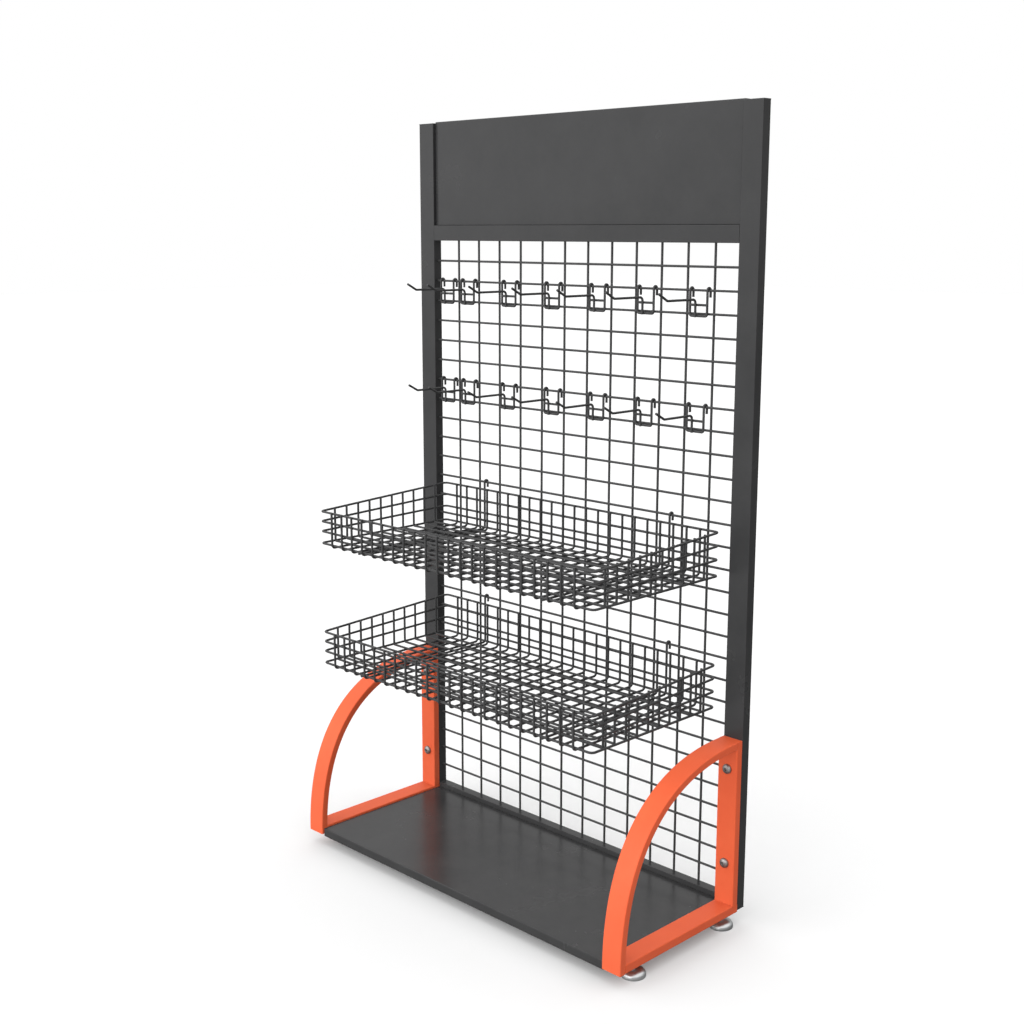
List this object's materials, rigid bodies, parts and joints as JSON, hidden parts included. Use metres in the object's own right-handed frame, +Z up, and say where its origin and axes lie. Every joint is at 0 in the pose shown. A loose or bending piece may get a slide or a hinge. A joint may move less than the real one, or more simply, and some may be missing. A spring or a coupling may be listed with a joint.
{
  "type": "wire mesh display rack",
  "caption": "Free-standing metal shop rack: mesh back between box uprights, solid header, hung hooks and wire baskets, low base shelf and bent orange side supports on levelling feet.",
  "frame": {"origin": "on the floor under the middle of the rack's outside box", "axes": "+Z up, +X to the right seen from the front, +Y to the back, so the front with the baskets faces -Y"},
  "size_m": [1.049, 0.4351, 1.8],
  "materials": {
    "grey_coat": "dark grey powder coat, half gloss, very fine texture",
    "wire_coat": "dark grey powder coat on drawn wire, half gloss",
    "orange_coat": "orange powder coat, half gloss",
    "plug_plastic": "dark moulded plug, fine grain",
    "zinc_steel": "bright zinc plate",
    "foot_chrome": "bright plate over pressed steel"
  },
  "bodies": {
    "root": {"base_shelf": "grey_coat", "basket_lower": "wire_coat", "basket_upper": "wire_coat", "bottom_plug_left": "plug_plastic", "bottom_plug_right": "plug_plastic", "bottom_rail": "grey_coat", "foot_inner_nuts": "zinc_steel", "foot_lock_nuts": "foot_chrome", "header_panel": "grey_coat", "hook_lower_1": "wire_coat", "hook_lower_2": "wire_coat", "hook_lower_3": "wire_coat", "hook_lower_4": "wire_coat", "hook_lower_5": "wire_coat", "hook_lower_6": "wire_coat", "hook_lower_7": "wire_coat", "hook_upper_1": "wire_coat", "hook_upper_2": "wire_coat", "hook_upper_3": "wire_coat", "hook_upper_4": "wire_coat", "hook_upper_5": "wire_coat", "hook_upper_6": "wire_coat", "hook_upper_7": "wire_coat", "levelling_feet": "foot_chrome", "support_arch_left": "orange_coat", "support_arch_right": "orange_coat", "support_base_left": "orange_coat", "support_base_right": "orange_coat", "support_bolts": "zinc_steel", "support_leg_left": "orange_coat", "support_leg_right": "orange_coat", "support_nuts": "zinc_steel", "top_plug_left": "plug_plastic", "top_plug_right": "plug_plastic", "top_rail": "grey_coat", "upright_left": "grey_coat", "upright_right": "grey_coat", "wire_grid": "wire_coat"}
  },
  "joints": []
}
